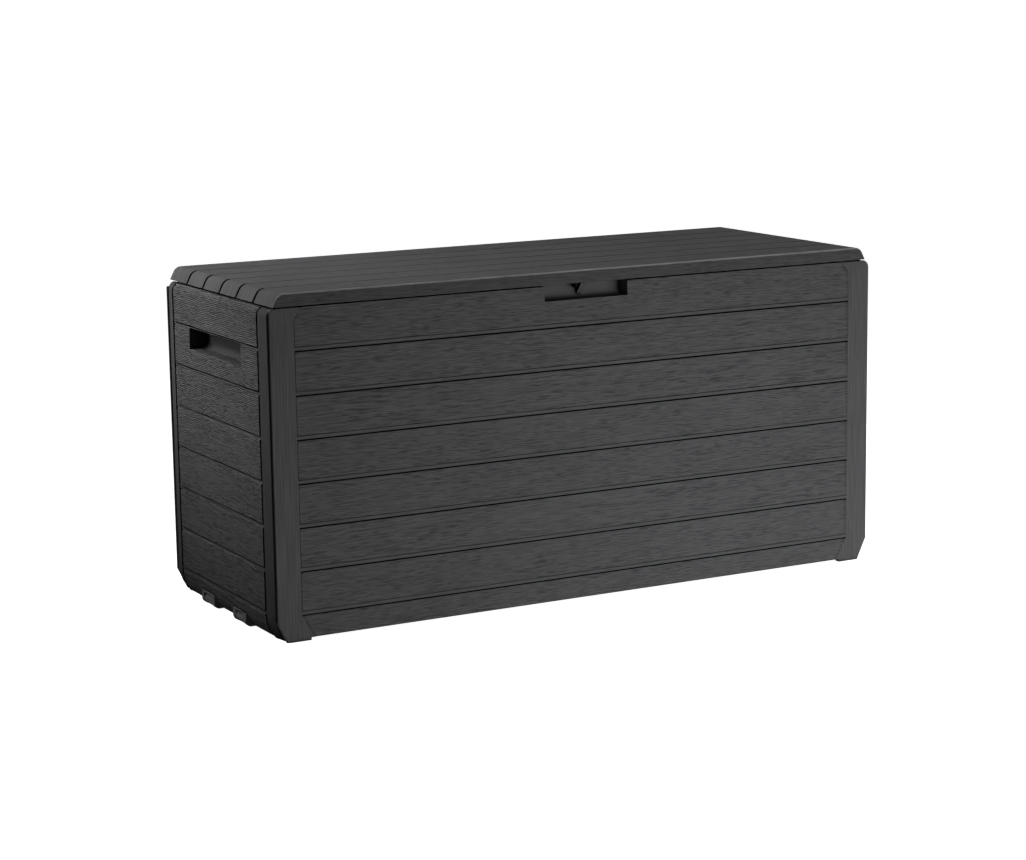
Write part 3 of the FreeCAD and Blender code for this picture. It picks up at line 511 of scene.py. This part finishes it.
def lid_material():
    """Lid: wood grain along X on the top, the apron and over the rounded ends."""
    g = material_graph("lid_resin")
    (x, y, z), normal = coordinates(g)
    upper = g.more(normal[2], TOP_FACING)
    apron = g.times(g.more(g.absolute(y), OUTER_SKIN), outward(g, y, normal[1], APRON_FACING))
    top_wood = wood_relief(g, x, y, LID_TOP_SEED, *LID_TOP_GRAIN)
    apron_wood = wood_relief(g, x, z, APRON_SEED, *APRON_GRAIN)
    height = g.blend(apron, g.blend(upper, PLAIN_HEIGHT, top_wood), apron_wood)
    return finish_resin(g, RESIN, height, LID_FINISH, lid_shade(g, x, y, z, normal, apron))


def plain_material(name, colour, finish):
    """Resin without grain, with the fine spark texture of a mould."""
    g = material_graph(name)
    return finish_resin(g, colour, g.even_noise(*SPARK), finish)


def dress(names, material):
    """Gives the named pieces one material."""
    for name in names:
        slots = nodes[name].data.materials
        slots.clear()
        slots.append(material)


def seen(g):
    """1 where a surface is seen directly or in a reflection, 0 where it only adds light."""
    path = g.node("ShaderNodeLightPath")
    direct = g.math("MAXIMUM", path.outputs["Is Camera Ray"], path.outputs["Is Glossy Ray"])
    return g.math("MAXIMUM", direct, path.outputs["Is Transmission Ray"])


def floor_material():
    """Grey that keeps the object's shadow, white where it is seen."""
    g = material_graph("studio_floor_white")
    diffuse = g.node("ShaderNodeBsdfDiffuse")
    diffuse.inputs["Color"].default_value = (FLOOR_GREY, FLOOR_GREY, FLOOR_GREY, 1.0)
    white = g.node("ShaderNodeEmission")
    g.put(white.inputs["Strength"], g.times(seen(g), FLOOR_WHITE))
    added = g.node("ShaderNodeAddShader")
    g.put(added.inputs[0], diffuse.outputs[0])
    g.put(added.inputs[1], white.outputs[0])
    out = g.node("ShaderNodeOutputMaterial")
    g.put(out.inputs[0], added.outputs[0])
    return g.owner


def studio_floor():
    """Pale floor out to the horizon."""
    mesh = bpy.data.meshes.new("floor_mesh")
    signs = [(-1, -1), (1, -1), (1, 1), (-1, 1)]
    corners = [(x * FLOOR_REACH, y * FLOOR_REACH, 0.0) for x, y in signs]
    mesh.from_pydata(corners, [], [(0, 1, 2, 3)])
    mesh.materials.append(floor_material())
    piece = bpy.data.objects.new("studio_floor", mesh)
    bpy.context.scene.collection.objects.link(piece)


def studio_world():
    """Plain white surround, weaker where it only adds soft light."""
    g = Graph(bpy.data.worlds.new("studio_surround"))
    surround = g.node("ShaderNodeBackground")
    surround.inputs["Color"].default_value = (1.0, 1.0, 1.0, 1.0)
    g.put(surround.inputs["Strength"], g.blend(seen(g), WORLD_LEVEL, WORLD_WHITE))
    out = g.node("ShaderNodeOutputWorld")
    g.put(out.inputs[0], surround.outputs[0])
    bpy.context.scene.world = g.owner


def lamp(name, place, target, size, power, spread):
    """Soft oblong lamp aimed at a point. A narrow spread is a grid on the lamp."""
    data = bpy.data.lights.new(name, "AREA")
    data.shape = "RECTANGLE"
    data.size, data.size_y = size
    data.energy = power
    data.spread = math.radians(spread)
    piece = bpy.data.objects.new(name, data)
    bpy.context.scene.collection.objects.link(piece)
    piece.location = place
    piece.visible_camera = False
    aim = Vector(target) - Vector(place)
    piece.rotation_euler = aim.to_track_quat("-Z", "Y").to_euler()


def camera():
    """Camera at the photograph's place, turned by its azimuth, elevation and roll."""
    azimuth, elevation, roll = (math.radians(v) for v in (AZIMUTH, ELEVATION, ROLL))
    back = Vector((
        math.sin(azimuth) * math.cos(elevation),
        -math.cos(azimuth) * math.cos(elevation),
        math.sin(elevation),
    ))
    right = (-back).cross(Vector((0, 0, 1))).normalized()
    up = right.cross(-back)
    turned_right = right * math.cos(roll) + up * math.sin(roll)
    turned_up = up * math.cos(roll) - right * math.sin(roll)
    data = bpy.data.cameras.new("camera")
    data.lens = LENS
    data.sensor_fit = "HORIZONTAL"
    data.sensor_width = SENSOR
    data.clip_end = CLIP_END
    piece = bpy.data.objects.new("camera", data)
    bpy.context.scene.collection.objects.link(piece)
    turn = Matrix((turned_right, turned_up, back)).transposed()
    piece.matrix_world = Matrix.Translation(CAMERA_AT) @ turn.to_4x4()
    bpy.context.scene.camera = piece


dress(["front_panel", "rear_panel"], long_panel_material())
dress(["left_end_panel", "right_end_panel"], end_panel_material())
dress(["lid"], lid_material())
dress(["floor_panel"], plain_material("floor_resin", RESIN_FLOOR, FLOOR_FINISH))
fittings = plain_material("fittings_resin", FITTINGS, FITTINGS_FINISH)
dress(["hinge_pin_left", "hinge_pin_middle", "hinge_pin_right"], fittings)
dress(["wheel_housing_front", "wheel_housing_rear", "wheel_axle_front", "wheel_axle_rear"], fittings)
dress(["wheel_front", "wheel_rear"], plain_material("wheel_resin", WHEEL_BLACK, WHEEL_FINISH))

studio_floor()
studio_world()
for settings in LAMPS:
    lamp(*settings)
camera()
bpy.context.scene.view_settings.view_transform = "Standard"
